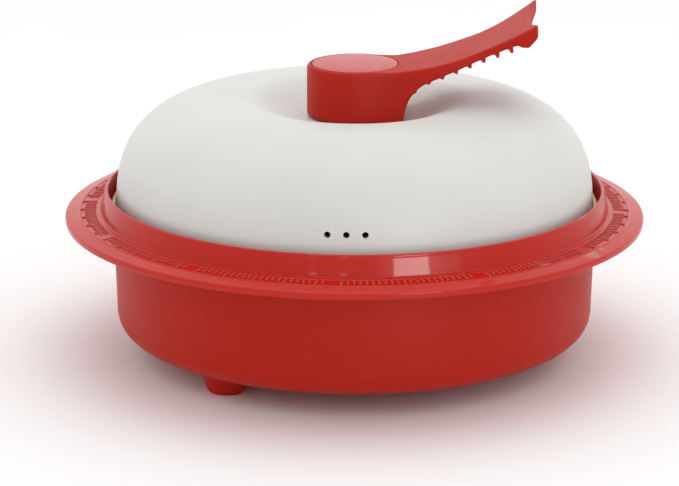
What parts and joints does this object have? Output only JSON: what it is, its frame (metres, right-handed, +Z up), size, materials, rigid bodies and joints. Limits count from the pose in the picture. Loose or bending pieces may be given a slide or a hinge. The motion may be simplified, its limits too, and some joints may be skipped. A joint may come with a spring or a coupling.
{
  "type": "popcorn maker",
  "caption": "Round popcorn maker: red flanged base on short feet, drop-in pan, white dished dome lid with steam vents, and a red turning handle with a ribbed, rising arm.",
  "frame": {"origin": "centre of the base, on the surface its feet stand on", "axes": "+Z up, along the axis the handle turns on; +X along the handle's arm; the steam vents are on the -Y side"},
  "size_m": [0.28, 0.28, 0.1679],
  "materials": {
    "red_gloss": "gloss",
    "red_body": "satin gloss",
    "shield_grey": "matt",
    "steel": "brushed",
    "cream_coating": "ceramic-coated, satin",
    "dark_plate": "matt",
    "white_dome": "satin",
    "silicone": "matt",
    "bush_plastic": "smooth"
  },
  "bodies": {
    "base": {"rim_ring": "red_gloss", "outer_tub": "red_body", "heat_shield": "shield_grey", "foot_1": "red_body", "foot_2": "red_body", "foot_3": "red_body", "foot_screw_1": "steel", "foot_screw_2": "steel", "foot_screw_3": "steel"},
    "pan": {"popping_pan": "cream_coating", "heating_plate": "dark_plate", "plate_retainer": "steel", "plate_screw": "steel"},
    "lid": {"lid_dome": "white_dome", "lid_seal": "silicone", "backing_plate": "steel", "pivot_bush": "bush_plastic", "slip_washer": "bush_plastic"},
    "handle": {"handle": "red_body", "hub_cap": "red_gloss", "pivot_screw": "steel", "screw_washer": "steel", "spring_washer": "steel", "nut_washer": "steel", "lock_nut": "steel"}
  },
  "joints": [
    {"name": "pan_lift", "type": "slide", "parent": "base", "child": "pan", "axis": [0, 0, 1], "range_m": [0, 0.08]},
    {"name": "lid_lift", "type": "slide", "parent": "pan", "child": "lid", "axis": [0, 0, 1], "range_m": [0, 0.06]},
    {"name": "handle_swivel", "type": "hinge", "parent": "lid", "child": "handle", "pos_m": [0, 0, 0.1166], "axis": [0, 0, 1], "continuous": true}
  ]
}
